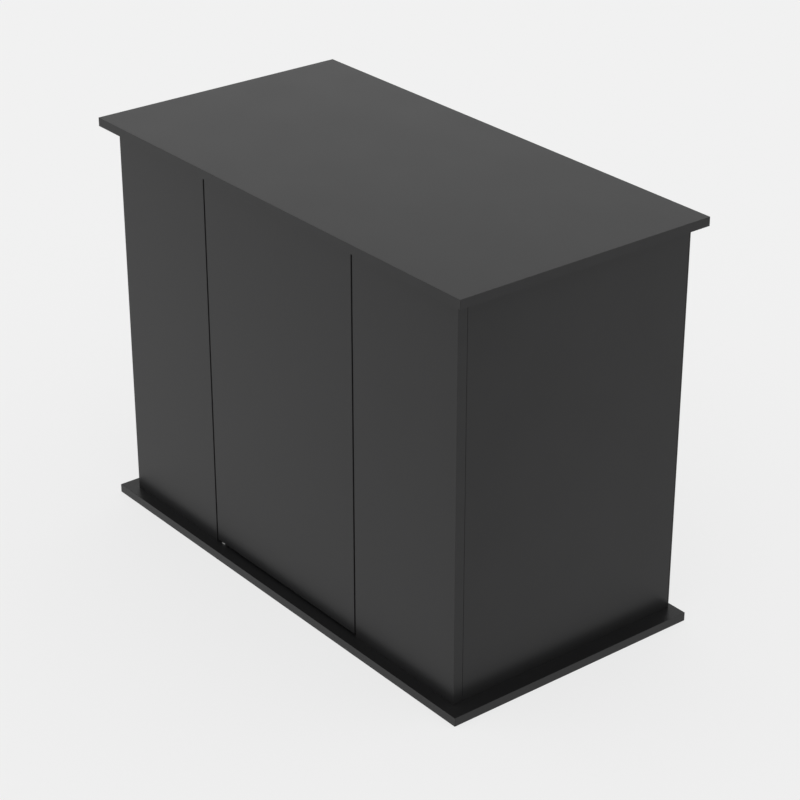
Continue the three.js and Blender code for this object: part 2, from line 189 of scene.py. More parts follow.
def melamine():
    """Black melamine foil: a fine pearl texture and a faint cloudiness."""
    made = Surface("black_melamine", Specular_IOR_Level=MELAMINE_SPECULAR)
    pearl = made.noise(1500, detail=1)
    cloud = made.noise(9, detail=3)
    made.feed("Base Color", made.ramp(cloud, (0.3, MELAMINE_DARK), (0.7, MELAMINE_PALE)))
    haze = made.spread(cloud, MELAMINE_ROUGHNESS - 0.015, MELAMINE_ROUGHNESS + 0.015)
    made.feed("Roughness", made.add(haze, pearl, 0.03))
    made.bump(made.add(pearl, made.noise(420, detail=0), 0.5), MELAMINE_PEARL)
    return made.material


def edge_banding():
    """The plastic edge strip: a little glossier, with faint lines from the scraper."""
    made = Surface("black_edge_banding", Specular_IOR_Level=MELAMINE_SPECULAR)
    lines = made.noise(60, detail=2, along=made.stretched((0.15, 0.15, 40)))
    made.feed("Base Color", made.ramp(made.noise(25), (0.3, MELAMINE_DARK), (0.7, MELAMINE_PALE)))
    made.feed("Roughness", made.spread(lines, MELAMINE_ROUGHNESS, MELAMINE_ROUGHNESS + 0.06))
    made.bump(lines, 0.01 * MM, 0.35)
    return made.material


def chipboard():
    """The raw core that shows in drilled holes and on cut edges: pale chips in darker glue."""
    made = Surface("chipboard_core", Specular_IOR_Level=0.2)
    chips = made.cells(520)
    tint = made.ramp(chips, (0.1, GLUE), (0.5, CHIP), (0.9, PALE_CHIP))
    made.feed("Base Color", tint)
    made.feed("Roughness", made.spread(chips, 0.75, 0.95, 0, 1))
    made.bump(made.add(chips, made.noise(1800), 0.6), 0.12 * MM, 0.7)
    return made.material


def hardboard_face():
    """The painted face of a back sheet, with the fibres just showing through."""
    made = Surface("hardboard_face", Specular_IOR_Level=0.35)
    fibres = made.noise(700, detail=4, roughness=0.7, along=made.stretched((1, 1, 0.35)))
    cloud = made.noise(7, detail=4)
    made.feed("Base Color", made.ramp(cloud, (0.3, PAINT_DARK), (0.7, PAINT_PALE)))
    made.feed("Roughness", made.add(made.spread(cloud, 0.5, 0.56), fibres, 0.12))
    made.bump(fibres, 0.03 * MM, 0.6)
    return made.material


def hardboard_edge():
    """The cut edge of a back sheet: brown pressed fibre."""
    made = Surface("hardboard_edge", Specular_IOR_Level=0.2)
    fibres = made.noise(900, detail=5, roughness=0.75, along=made.stretched((1, 3, 1)))
    made.feed("Base Color", made.ramp(fibres, (0.3, FIBRE_DARK), (0.7, FIBRE_PALE)))
    made.feed("Roughness", made.spread(fibres, 0.8, 0.95))
    made.bump(fibres, 0.08 * MM, 0.8)
    return made.material


def metal(name, dark, pale, roughness, scale=260, stretch=(1, 1, 1), depth=0.01):
    """A metal whose tone and gloss wander between two shades."""
    made = Surface(name, Metallic=1.0)
    mottle = made.noise(scale, detail=4, roughness=0.6, along=made.stretched(stretch))
    made.feed("Base Color", made.ramp(mottle, (0.3, dark), (0.7, pale)))
    made.feed("Roughness", made.spread(mottle, roughness - 0.06, roughness + 0.08))
    made.bump(mottle, depth * MM, 0.5)
    return made.material


def plastic(name, dark, pale, roughness, texture, depth, **values):
    """A moulded plastic with a spark-eroded texture."""
    made = Surface(name, **values)
    grain = made.noise(texture, detail=3, roughness=0.6)
    cloud = made.noise(60)
    made.feed("Base Color", made.ramp(cloud, (0.3, dark), (0.7, pale)))
    made.feed("Roughness", made.spread(grain, roughness - 0.05, roughness + 0.07))
    made.bump(grain, depth * MM, 0.6)
    return made.material


def beech():
    """Plain beech for the dowels, with its short dark flecks along the grain."""
    made = Surface("beech", Specular_IOR_Level=0.3)
    grain = made.noise(700, detail=4, roughness=0.65, along=made.stretched((1, 1, 0.08)))
    flecks = made.noise(2600, detail=1, along=made.stretched((1, 1, 0.25)))
    wood = made.ramp(grain, (0.3, BEECH_DARK), (0.7, BEECH_PALE))
    fleck = made.ramp(grain, (0.3, FLECK_DARK), (0.7, FLECK_PALE))
    made.feed("Base Color", made.mix(made.spread(flecks, 0, 1, 0.64, 0.7), wood, fleck))
    made.feed("Roughness", made.spread(grain, 0.62, 0.8))
    made.bump(made.add(grain, flecks, -0.5), 0.05 * MM, 0.6)
    return made.material


MELAMINE_DARK = (0.0139, 0.0139, 0.0142)
MELAMINE_PALE = (0.0157, 0.0157, 0.0161)
MELAMINE_SPECULAR = 0.24
MELAMINE_ROUGHNESS = 0.325
MELAMINE_PEARL = 0.05 * MM
GLUE, CHIP, PALE_CHIP = (0.16, 0.09, 0.045), (0.34, 0.22, 0.12), (0.5, 0.36, 0.22)
PAINT_DARK, PAINT_PALE = (0.011, 0.011, 0.011), (0.017, 0.016, 0.0155)
FIBRE_DARK, FIBRE_PALE = (0.06, 0.032, 0.016), (0.19, 0.11, 0.06)
BEECH_DARK, BEECH_PALE = (0.42, 0.26, 0.13), (0.62, 0.43, 0.25)
FLECK_DARK, FLECK_PALE = (0.25, 0.13, 0.06), (0.3, 0.17, 0.08)

FOIL = melamine()
STRIP = edge_banding()
CORE = chipboard()
SHEET = hardboard_face()
SHEET_EDGE = hardboard_edge()
BEECH = beech()
NICKEL = metal("nickel_plate", (0.5, 0.48, 0.44), (0.66, 0.64, 0.59), 0.2)
SATIN_NICKEL = metal(
    "satin_nickel", (0.84, 0.84, 0.83), (0.92, 0.92, 0.91), 0.42, 400, depth=0.02,
)
DIECAST = metal("die_cast_zinc", (0.3, 0.31, 0.32), (0.44, 0.45, 0.46), 0.42, 340, depth=0.03)
PLATED = metal("zinc_plated_steel", (0.36, 0.37, 0.37), (0.5, 0.5, 0.48), 0.34, 200)
SPRING_STEEL = metal("spring_steel", (0.22, 0.22, 0.23), (0.34, 0.34, 0.35), 0.3, 900)
MAGNET = metal("magnet_plate", (0.32, 0.32, 0.31), (0.46, 0.46, 0.45), 0.26, 300, (1, 4, 1))
NYLON = plastic(
    "natural_nylon", (0.58, 0.55, 0.48), (0.66, 0.63, 0.56), 0.42, 900, 0.01,
    Subsurface_Weight=0.15, Subsurface_Scale=1.5 * MM,
)
MOULDED = plastic("black_plastic", (0.011, 0.011, 0.012), (0.017, 0.017, 0.018), 0.5, 1400, 0.02)


# ---- Mesh helpers -----------------------------------------------------------------------------


def mesh_data(name, mesh, materials, smooth=None):
    """Mesh data from a bmesh, shaded smooth where it turns by less than `smooth` degrees."""
    data = bpy.data.meshes.new(name)
    bmesh.ops.remove_doubles(mesh, verts=mesh.verts, dist=WELD)
    mesh.normal_update()
    mesh.to_mesh(data)
    mesh.free()
    for material in materials:
        data.materials.append(material)
    if smooth is not None:
        data.shade_smooth()
        data.set_sharp_from_angle(angle=math.radians(smooth))
    return data


def linked(name, data, node, place=(0, 0, 0), turn=(0, 0, 0)):
    """An object that rides on a CAD node's body."""
    piece = bpy.data.objects.new(name, data)
    piece.location = place
    piece.rotation_euler = turn
    bpy.context.scene.collection.objects.link(piece)
    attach(piece, BODY_OF[node])
    return piece


def rounded(points, radius, steps=4):
    """An outline with its inner corners replaced by short curves."""
    points = [Vector(p) for p in points]
    result = [points[0]]
    for before, corner, after in zip(points, points[1:], points[2:]):
        shorter = min((before - corner).length, (after - corner).length)
        reach = min(radius, shorter * CURVE_SHARE)
        start = corner + (before - corner).normalized() * reach
        end = corner + (after - corner).normalized() * reach
        for i in range(steps + 1):
            t = i / steps
            result.append(start * (1 - t) ** 2 + corner * (2 * t * (1 - t)) + end * t**2)
    return result + [points[-1]]


def turned(outline, sides, closed=False, groove=None):
    """A bmesh turned round Z from (radius, z) points. An open outline starts and ends on the axis.

    `groove(angle, z)` is how much a thread or a flute takes off the radius there.
    """
    mesh = bmesh.new()
    rings = []
    for radius, z in outline:
        if radius < SAME:
            rings.append([mesh.verts.new((0, 0, z))])
            continue
        ring = []
        for i in range(sides):
            angle = 2 * math.pi * i / sides
            reach = radius - (groove(angle, z) if groove else 0)
            ring.append(mesh.verts.new((reach * math.cos(angle), reach * math.sin(angle), z)))
        rings.append(ring)
    if closed:
        rings.append(rings[0])
    for low, high in zip(rings, rings[1:]):
        skin(mesh, low, high)
    bmesh.ops.recalc_face_normals(mesh, faces=mesh.faces)
    return mesh


def skin(mesh, low, high):
    """Faces between two rings, either of which may be a single point."""
    count = max(len(low), len(high))
    for i in range(count):
        j = (i + 1) % count
        if len(low) == 1:
            mesh.faces.new((low[0], high[j], high[i]))
        elif len(high) == 1:
            mesh.faces.new((low[i], low[j], high[0]))
        else:
            mesh.faces.new((low[i], low[j], high[j], high[i]))


def levels(radius, low, high, step):
    """Points straight up a turned piece, close enough together to carry a thread."""
    count = max(1, round((high - low) / step))
    return [(radius, low + (high - low) * i / count) for i in range(count + 1)]


def thread(low, high, pitch, depth):
    """The groove of a right-handed thread, which fades out at both ends."""

    def groove(angle, z):
        fade = max(0, min(1, (z - low) / pitch, (high - z) / pitch))
        across = abs((z / pitch - angle / (2 * math.pi)) % 1 - 0.5) * 2
        return depth * fade * min(1, across * THREAD_FLANK)

    return groove


def prism(outline, low, high, taper=1.0):
    """A bmesh with an outline of (x, y) points at z = low, scaled by `taper` at z = high."""
    mesh = bmesh.new()
    bottom = [mesh.verts.new((x, y, low)) for x, y in outline]
    top = [mesh.verts.new((x * taper, y * taper, high)) for x, y in outline]
    skin(mesh, bottom, top)
    mesh.faces.new(bottom)
    mesh.faces.new(top)
    bmesh.ops.recalc_face_normals(mesh, faces=mesh.faces)
    return mesh


def polygon(radius, sides):
    turn = 2 * math.pi / sides
    return [(radius * math.cos(i * turn), radius * math.sin(i * turn)) for i in range(sides)]


def cross(reach, half):
    """The outline of a screwdriver's cross."""
    corner = [(reach, -half), (reach, half), (half, half)]
    points = []
    for turn in range(4):
        cos, sin = round(math.cos(turn * math.pi / 2)), round(math.sin(turn * math.pi / 2))
        points += [(x * cos - y * sin, x * sin + y * cos) for x, y in corner]
    return points


def bar(low, high, ease, steps=2, upright_only=False):
    """A bmesh box with rounded edges: all of them, or only the ones along Z."""
    mesh = bmesh.new()
    bmesh.ops.create_cube(mesh, size=1)
    for vert in mesh.verts:
        vert.co = [lo + (c + 0.5) * (hi - lo) for c, lo, hi in zip(vert.co, low, high)]
    edges = list(mesh.edges)
    if upright_only:
        edges = [edge for edge in edges if abs(edge.verts[0].co.z - edge.verts[1].co.z) > SAME]
    bmesh.ops.bevel(mesh, geom=edges, offset=ease, segments=steps, affect="EDGES", profile=0.5)
    return mesh


def combined(mesh, others, operation):
    """The bmesh with the others cut out of it (DIFFERENCE) or joined to it (UNION)."""
    scene = bpy.context.scene.collection.objects
    holder = loose(mesh)
    scene.link(holder)
    tools = []
    for other in others:
        tool = loose(other)
        scene.link(tool)
        tools.append(tool)
        modifier = holder.modifiers.new("combine", "BOOLEAN")
        modifier.operation = operation
        modifier.solver = "EXACT"
        modifier.object = tool
    bpy.context.view_layer.update()
    result = bmesh.new()
    result.from_object(holder, bpy.context.evaluated_depsgraph_get())
    for item in [holder, *tools]:
        data = item.data
        bpy.data.objects.remove(item)
        bpy.data.meshes.remove(data)
    return result


def carved(mesh, *cutters):
    return combined(mesh, cutters, "DIFFERENCE")


def loose(mesh):
    data = bpy.data.meshes.new("loose")
    mesh.to_mesh(data)
    mesh.free()
    return bpy.data.objects.new("loose", data)


def add_to(mesh, other):
    """Puts a bmesh beside what is in another, and returns the vertices that came in."""
    data = bpy.data.meshes.new("loose")
    other.to_mesh(data)
    other.free()
    before = len(mesh.verts)
    mesh.from_mesh(data)
    bpy.data.meshes.remove(data)
    mesh.verts.ensure_lookup_table()
    return mesh.verts[before:]


def moved(mesh, offset=(0, 0, 0), turn=0, axis="Z"):
    """The bmesh, turned by a number of degrees about an axis through the origin and then shifted."""
    matrix = Matrix.Rotation(math.radians(turn), 3, axis)
    bmesh.ops.rotate(mesh, verts=mesh.verts, cent=(0, 0, 0), matrix=matrix)
    bmesh.ops.translate(mesh, verts=mesh.verts, vec=Vector(offset))
    return mesh


def centred(mesh):
    """The bmesh with the middle of its own box at the origin."""
    low = [min(vert.co[axis] for vert in mesh.verts) for axis in range(3)]
    high = [max(vert.co[axis] for vert in mesh.verts) for axis in range(3)]
    return moved(mesh, [-(a + b) / 2 for a, b in zip(low, high)])


def shape(name, mesh, material, smooth=35):
    """Mesh data for one or more equal pieces of hardware, centred on the origin."""
    return mesh_data(name, centred(mesh), [material], smooth)


def fitted(data, node, turn=0, axis="Z"):
    """A piece of hardware at the middle of the CAD node that it replaces."""
    angles = [math.radians(turn) if name == axis else 0 for name in "XYZ"]
    piece = linked(f"{node}_{data.name}", data, node, middle(node), angles)
    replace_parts(piece, node)
    return piece


def middle(node):
    low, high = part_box(node)
    return (low + high) / 2


# ---- Boards -----------------------------------------------------------------------------------


def cad_copy(node):
    """The CAD node's solid with its flat faces whole again instead of in triangles."""
    mesh = bmesh.new()
    mesh.from_mesh(frame["nodes"][node].data)
    bmesh.ops.remove_doubles(mesh, verts=mesh.verts, dist=WELD)
    bmesh.ops.dissolve_limit(mesh, angle_limit=FLAT, verts=mesh.verts, edges=mesh.edges)
    return mesh


def on_plane(vert, axis, value):
    return abs(vert.co[axis] - value) < SAME


def planes_of(edge, ends):
    """How many of a board's six outer planes an edge lies in."""
    return sum(all(on_plane(v, axis, at) for v in edge.verts) for (axis, _), at in ends.items())


def is_rim(edge, ends):
    if len(edge.link_faces) != 2 or edge.calc_face_angle() <= RIM:
        return False
    return planes_of(edge, ends) == 1


def eased(mesh, edges, radius, segments):
    bmesh.ops.bevel(mesh, geom=edges, offset=radius, segments=segments, affect="EDGES")


def board(node, banded, faces=(FOIL, CORE, STRIP), drawn=None):
    """A board with rounded edges, foil on its two faces, and strips on its banded edges.

    `banded` lists (axis, side) pairs, such as (0, 1) for the +X edge. The strips' thickness comes
    off the board, so the whole keeps the CAD node's size. `drawn` says how far any of the ends
    moves outwards from the CAD node's.
    """
    low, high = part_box(node)
    mesh = cad_copy(node)
    sides = [(axis, side) for axis in range(3) for side in (-1, 1)]
    ends = {(axis, side): (high if side > 0 else low)[axis] for axis, side in sides}
    outline = [edge for edge in mesh.edges if planes_of(edge, ends) >= 2]
    rims = [edge for edge in mesh.edges if is_rim(edge, ends)]
    shifts = {end: -(BANDING + CORE_GAP) for end in banded}
    for (axis, side), distance in (drawn or {}).items():
        shifts[axis, side] = shifts.get((axis, side), 0) + distance
        (high if side > 0 else low)[axis] += side * distance
    for vert in mesh.verts:
        for (axis, side), distance in shifts.items():
            if on_plane(vert, axis, ends[axis, side]):
                vert.co[axis] += side * distance
    eased(mesh, outline, BANDED_EASE if banded else BOARD_EASE, 2)
    rims = [edge for edge in rims if edge.is_valid]
    if rims:
        eased(mesh, rims, HOLE_EASE, 1)
    clad(mesh, low, high, ends)
    data = mesh_data(node + "_board", mesh, faces, smooth=20)
    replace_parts(linked(data.name, data, node), node)
    for axis, side in banded:
        strip(node, axis, side, low, high, banded)


def clad(mesh, low, high, ends):
    """Gives each face its material: 0 outside, 1 inside a hole, 2 on the wall of a cut-out."""
    sizes = high - low
    thin = thinnest(sizes)
    mesh.normal_update()
    for face in mesh.faces:
        centre = face.calc_center_median()
        flat = abs(face.normal[thin]) > FACING
        outer = any(abs(centre[axis] - at) < BANDING * 1.5 for (axis, _), at in ends.items())
        if (flat and on_face(centre, thin, low, high)) or (outer and not flat):
            face.material_index = 0
            continue
        across = [vert.co[thin] for vert in face.verts]
        through = max(across) - min(across) > sizes[thin] / 2
        face.material_index = 2 if through and face.calc_area() > EDGED_AREA else 1


def thinnest(sizes):
    return min(range(3), key=lambda axis: sizes[axis])


def on_face(centre, thin, low, high):
    return min(abs(centre[thin] - low[thin]), abs(centre[thin] - high[thin])) < BOARD_EASE


def strip(node, axis, side, low, high, banded):
    """One edge strip. Strips along X run past the ends of the others, which butt against them."""
    a, b = Vector(low), Vector(high)
    if side > 0:
        a[axis] = high[axis] - BANDING
    else:
        b[axis] = low[axis] + BANDING
    across = 3 - thinnest(high - low) - axis
    if axis == min(axis, across):
        a[across] += BANDING + CORE_GAP if (across, -1) in banded else 0
        b[across] -= BANDING + CORE_GAP if (across, 1) in banded else 0
    name = f"{node}_strip_{'xyz'[axis]}{'low' if side < 0 else 'high'}"
    linked(name, mesh_data(name, bar(a, b, BANDING_EASE), [STRIP]), node)


ROUND = [(0, -1), (0, 1), (1, -1), (1, 1)]
board("base_board", ROUND)
board("top_board", ROUND)
STANDING = {(2, -1): CONTACT, (2, 1): CONTACT}
for upright in ("left_side", "right_side", "left_divider", "right_divider"):
    board(upright, [(1, -1)], drawn={**STANDING, (1, -1): -SEAM})
for panel in ("left_front_panel", "right_front_panel"):
    board(panel, [(0, -1), (0, 1)], drawn=STANDING)
board("door", [(0, -1), (0, 1)])
board("shelf", [(1, -1), (1, 1)])
for sheet in ("back_left", "back_centre", "back_right"):
    board(sheet, [], faces=(SHEET, SHEET_EDGE, SHEET_EDGE))


# ---- Door pivots ------------------------------------------------------------------------------


def pivot_pin():
    """A shouldered steel pin: a grooved root for the board, a tapered collar and a journal."""
    root, collar, collar_top, journal, tip = 9.7 * MM, 6 * MM, 5.5 * MM, 2.5 * MM, 18 * MM
    foot, top = 0.2 * MM, 4.7 * MM  # of the collar
    groove, depth = -7.5 * MM, 0.2 * MM
    profile = rounded(
        [(0, -root), (journal - 0.4 * MM, -root), (journal, -root + 0.6 * MM), (journal, foot),
         (collar, foot), (collar, foot + 0.6 * MM), (collar_top, top), (journal + 0.5 * MM, top),
         (journal, top + 0.4 * MM), (journal, tip - 1.2 * MM), (journal - 0.8 * MM, tip), (0, tip)],
        0.35 * MM,
    )
    ring = [(journal, groove - 0.5 * MM), (journal - depth, groove - 0.3 * MM),
            (journal - depth, groove + 0.3 * MM), (journal, groove + 0.5 * MM)]
    below = [point for point in profile if point[1] < groove - MM]
    above = [point for point in profile if point[1] >= groove - MM]
    return shape("pivot", turned([*below, *ring, *above], FINE), SATIN_NICKEL)


def pivot_bush():
    """A moulded sleeve with eased ends and three snap rings round its outside."""
    bore, radius, length = 2.6 * MM, 4 * MM, 14 * MM
    waist = radius - 0.25 * MM
    lead = 0.3 * MM
    outside = [(waist, 0), (radius, 0.25 * MM)]
    for z in (4 * MM, 7 * MM, 10 * MM):
        outside += [(radius, z), (waist, z + 0.1 * MM), (waist, z + 0.7 * MM), (radius, z + 1.1 * MM)]
    outside += [(radius, length - 0.25 * MM), (waist, length)]
    inside = [(bore + lead, length), (bore, length - lead), (bore, lead), (bore + lead, 0)]
    return shape("sleeve", turned(outside + inside, FINE, closed=True), NYLON, smooth=50)


PIVOT_PIN = pivot_pin()
fitted(PIVOT_PIN, "lower_pivot_pin")
fitted(PIVOT_PIN, "upper_pivot_pin", 180, "X")
PIVOT_BUSH = pivot_bush()
fitted(PIVOT_BUSH, "lower_pivot_bush")
fitted(PIVOT_BUSH, "upper_pivot_bush", 180, "X")


# ---- Push latch -------------------------------------------------------------------------------


def latch_housing():
    """A moulded case with two screw ears, a bore for the plunger and ribs along its sides."""
    low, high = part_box("latch_housing")
    half, length, reach = 7 * MM, high.y - low.y, (high.x - low.x) / 2
    roof = high.z - low.z - half
    end_wall, bore, hole = 6 * MM, 4.2 * MM, 1.9 * MM
    ear_front, ear_back, ear, ear_x = 24 * MM, 44 * MM, 3 * MM, 12 * MM
    case = bar((-half, 0, -half), (half, length, roof), 0.8 * MM, 3)
    ears = bar((-reach, ear_front, roof - ear), (reach, ear_back, roof), 3 * MM, 6, upright_only=True)
    bottom = length - end_wall
    mouth = turned([(0, -MM), (bore + 0.5 * MM, -MM), (bore + 0.5 * MM, 0), (bore, 0.5 * MM),
                    (bore, bottom), (0, bottom)], FINE)
    cutters = [moved(mouth, turn=-90, axis="X")]
    for side in (-1, 1):
        drill = turned([(0, roof - ear - MM), (hole, roof - ear - MM), (hole, roof + MM),
                        (0, roof + MM)], COARSE)
        cutters.append(moved(drill, (side * ear_x, (ear_front + ear_back) / 2, 0)))
        x, depth = side * half, 0.4 * MM
        for z in (-4.4 * MM, -1.4 * MM, 1.6 * MM):
            cutters.append(bar((x - depth, 8 * MM, z), (x + depth, bottom, z + 1.6 * MM), 0.3 * MM))
    return carved(combined(case, [ears], "UNION"), *cutters)


def latch_plunger():
    """A nylon rod with a grooved nose and a long guide flat in its underside."""
    radius, length = 4 * MM, 42 * MM
    waist = radius - 0.35 * MM
    nose = [(0, 0), (radius - 0.4 * MM, 0), (radius, 0.4 * MM)]
    for y in (2 * MM, 4 * MM):
        nose += [(radius, y), (waist, y + 0.2 * MM), (waist, y + 0.9 * MM), (radius, y + 1.1 * MM)]
    body = nose + [(radius, length - 0.6 * MM), (radius - 0.6 * MM, length), (0, length)]
    slot = bar((-MM, 9 * MM, -radius - 0.5 * MM), (MM, length - 4 * MM, 0.9 * MM - radius), 0.3 * MM)
    return carved(moved(turned(body, FINE), turn=-90, axis="X"), slot)


def latch_magnet():
    """A magnet flush in the mouth of a thin steel cup."""
    radius, depth, disc = 5 * MM, 3.4 * MM, 3.9 * MM
    profile = rounded([(0, 0.12 * MM), (disc, 0.12 * MM), (disc + 0.05 * MM, 0.5 * MM),
                       (disc + 0.2 * MM, 0.5 * MM), (disc + 0.25 * MM, 0), (radius, 0),
                       (radius, depth), (0, depth)], 0.25 * MM)
    return moved(turned(profile, FINE), turn=-90, axis="X")


def coil(turns, radius, wire, length):
    """A compression spring along Y with its end turns closed up."""
    mesh = bmesh.new()
    steps, sides = 40, 10  # to a turn, and round the wire
    dead = 0.9  # turns of each end that lie flat
    flat_rise = 2.05 * wire
    open_rise = (length - 2 * wire - 2 * dead * flat_rise) / (turns - 2 * dead)
    rings = []
    for i in range(turns * steps + 1):
        turn = i / steps
        opened = min(max(turn - dead, 0), turns - 2 * dead)
        closed = min(turn, dead) + max(turn - (turns - dead), 0)
        rise = wire + closed * flat_rise + opened * open_rise
        angle = 2 * math.pi * turn
        ring = []
        for j in range(sides):
            around = 2 * math.pi * j / sides
            reach = radius + wire * math.cos(around)
            y = rise + wire * math.sin(around)
            ring.append(mesh.verts.new((reach * math.cos(angle), y, reach * math.sin(angle))))
        rings.append(ring)
    for low, high in zip(rings, rings[1:]):
        skin(mesh, low, high)
    mesh.faces.new(rings[0])
    mesh.faces.new(rings[-1])
    bmesh.ops.recalc_face_normals(mesh, faces=mesh.faces)
    return mesh


def latch_screw():
    """A pan-head screw, head downwards, with a cross recess."""
    low, head, shank, tip = -1.8 * MM, 3.3 * MM, 1.6 * MM, 14 * MM
    profile = rounded(
        [(0, low), (head - 0.9 * MM, low), (head, low + MM), (head, 0), (shank, 0)], 0.4 * MM,
    )
    rod = levels(shank, 0.5 * MM, tip - 2 * MM, 0.12 * MM) + [(0.5 * MM, tip - 0.6 * MM), (0, tip)]
    spiral = thread(1.5 * MM, tip - 1.6 * MM, 1.1 * MM, 0.4 * MM)
    body = turned([*profile, *rod], COARSE, groove=spiral)
    return carved(body, prism(cross(1.7 * MM, 0.35 * MM), low - 0.2 * MM, low + 1.3 * MM, 0.55))


def strike_plate():
    """A steel disc with a countersunk drive screw through its middle."""
    low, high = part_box("strike_plate")
    depth = high.y - low.y
    radius, face, hole, sink = 7 * MM, 1.2 * MM, 2.4 * MM, 3.2 * MM
    back, head = depth - face, depth - 0.12 * MM
    ring = rounded([(sink, depth), (radius, depth), (radius, back), (hole, back)], 0.3 * MM)
    plate = turned([*ring, (hole, depth - 0.9 * MM)], FINE, closed=True)
    rod = levels(1.9 * MM, 1.6 * MM, back - 0.4 * MM, 0.14 * MM)
    outline = [(0, 0), (0.5 * MM, 0.3 * MM), *rod, (hole - 0.1 * MM, depth - MM),
               (sink - 0.1 * MM, head), (0, head)]
    spiral = thread(1.2 * MM, depth - 2 * MM, 1.2 * MM, 0.4 * MM)
    recess = prism(cross(0.9 * MM, 0.2 * MM), depth - 1.4 * MM, depth, 1.9)
    add_to(plate, carved(turned(outline, FINE, groove=spiral), recess))
    return moved(plate, turn=-90, axis="X")


fitted(shape("case", latch_housing(), MOULDED, 30), "latch_housing")
fitted(shape("rod", latch_plunger(), NYLON), "latch_plunger")
fitted(shape("cup", latch_magnet(), MAGNET), "latch_magnet")
fitted(shape("disc", strike_plate(), PLATED), "strike_plate")
LATCH_SCREW = shape("screw", latch_screw(), PLATED)
fitted(LATCH_SCREW, "latch_screw_left")
fitted(LATCH_SCREW, "latch_screw_right", 45)

spring_low, spring_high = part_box("latch_spring")
spring_length = spring_high.y - spring_low.y
SPRING_TURNS, SPRING_RADIUS, WIRE = 7, 3.1 * MM, 0.35 * MM
spiral = coil(SPRING_TURNS, SPRING_RADIUS, WIRE, spring_length)
spring = fitted(shape("coil", spiral, SPRING_STEEL, 60), "latch_spring")
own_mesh(spring)


# ---- Fasteners --------------------------------------------------------------------------------


def cam_disc():
    """A die-cast cam: a rimmed face with a cross recess and a pocket for the bolt's head."""
    radius, depth, dish = 7.3 * MM, 12.2 * MM, 0.35 * MM
    bolt, half = -8 * MM, 4 * MM  # the height of the bolt's axis, and half the pocket's width
    profile = rounded(
        [(0, -depth), (radius - 0.5 * MM, -depth), (radius, 0.5 * MM - depth), (radius, 0),
         (radius - 0.9 * MM, 0), (radius - 1.1 * MM, -dish), (0, -dish)],
        0.25 * MM,
    )
    pocket = bar((-half, -half, -depth - 2 * MM), (half, radius + MM, bolt + half), 1.2 * MM, 4)
    recess = prism(cross(2.2 * MM, 0.5 * MM), -2.2 * MM, 0.1 * MM, 1.45)
    body = carved(turned(profile, FINE), pocket, recess)
    return moved(moved(body, turn=90, axis="X"), turn=90, axis="Z")


def cam_bolt():
    """The bolt that a cam pulls on: a coarse thread, a plain shank, a neck and a round head."""
    low, top, tip = -27 * MM, -0.4 * MM, 10.4 * MM  # the head's end, the shank's and the thread's
    head, neck, shank, root = 3.5 * MM, 2 * MM, 3.2 * MM, 2.8 * MM
    profile = rounded(
        [(0, low), (head, low), (head, low + 3.5 * MM), (neck, low + 5 * MM),
         (neck, low + 11 * MM), (shank, low + 12 * MM), (shank, top), (root, top)],
        0.4 * MM,
    )
    rod = levels(root, 0.1 * MM, tip - 0.8 * MM, 0.16 * MM) + [(0, tip)]
    spiral = thread(-0.1 * MM, tip - 0.4 * MM, 2.4 * MM, 0.75 * MM)
    return turned([*profile, *rod], MEDIUM, groove=spiral)


def confirmat():
    """A long screw with a countersunk head, a hexagon socket and a coarse thread."""
    head, shank, root, length = 4.9 * MM, 3.4 * MM, 2.9 * MM, 50 * MM
    plain = 15.2 * MM  # where the thread starts
    profile = rounded([(0, 0), (head - 0.15 * MM, 0), (head, 0.4 * MM), (shank, 3 * MM),
                       (shank, plain - 0.6 * MM), (root, plain)], 0.3 * MM)
    rod = levels(root, plain + 0.4 * MM, length - 4 * MM, 0.3 * MM) + [(0, length)]
    spiral = thread(plain + 0.1 * MM, length - 3 * MM, 3 * MM, 0.8 * MM)
    body = turned([*profile, *rod], MEDIUM, groove=spiral)
    return carved(body, prism(polygon(2.3 * MM, 6), -MM, 2.5 * MM))


def fluted_dowel():
    """A beech dowel with chamfered ends and straight flutes."""
    radius, length, flutes, depth = 3.8 * MM, 30 * MM, 20, 0.22 * MM
    profile = [(0, 0), (radius - MM, 0), (radius, MM)]
    profile += [(radius, length - MM), (radius - MM, length), (0, length)]

    def groove(angle, _):
        return depth * max(0, math.cos(flutes * angle))

    return turned(profile, flutes * 6, groove=groove)


def shelf_pin():
    """A pin with a collar and a half-round tongue whose flat top takes the shelf."""
    stem, collar, tip, end = 2.35 * MM, 4 * MM, -9.5 * MM, 9 * MM
    rim, seat = 1.2 * MM, MM  # how thick the collar is, and the height of the tongue's flat
    profile = rounded([(0, tip), (stem - 0.5 * MM, tip), (stem, tip + 0.5 * MM), (stem, 0.1 * MM),
                       (collar, 0.1 * MM), (collar, end), (0, end)], 0.3 * MM)
    above = bar((rim, -6 * MM, seat), (12 * MM, 6 * MM, 8 * MM), 0.25 * MM)
    return carved(moved(turned(profile, FINE), turn=90, axis="Y"), above)


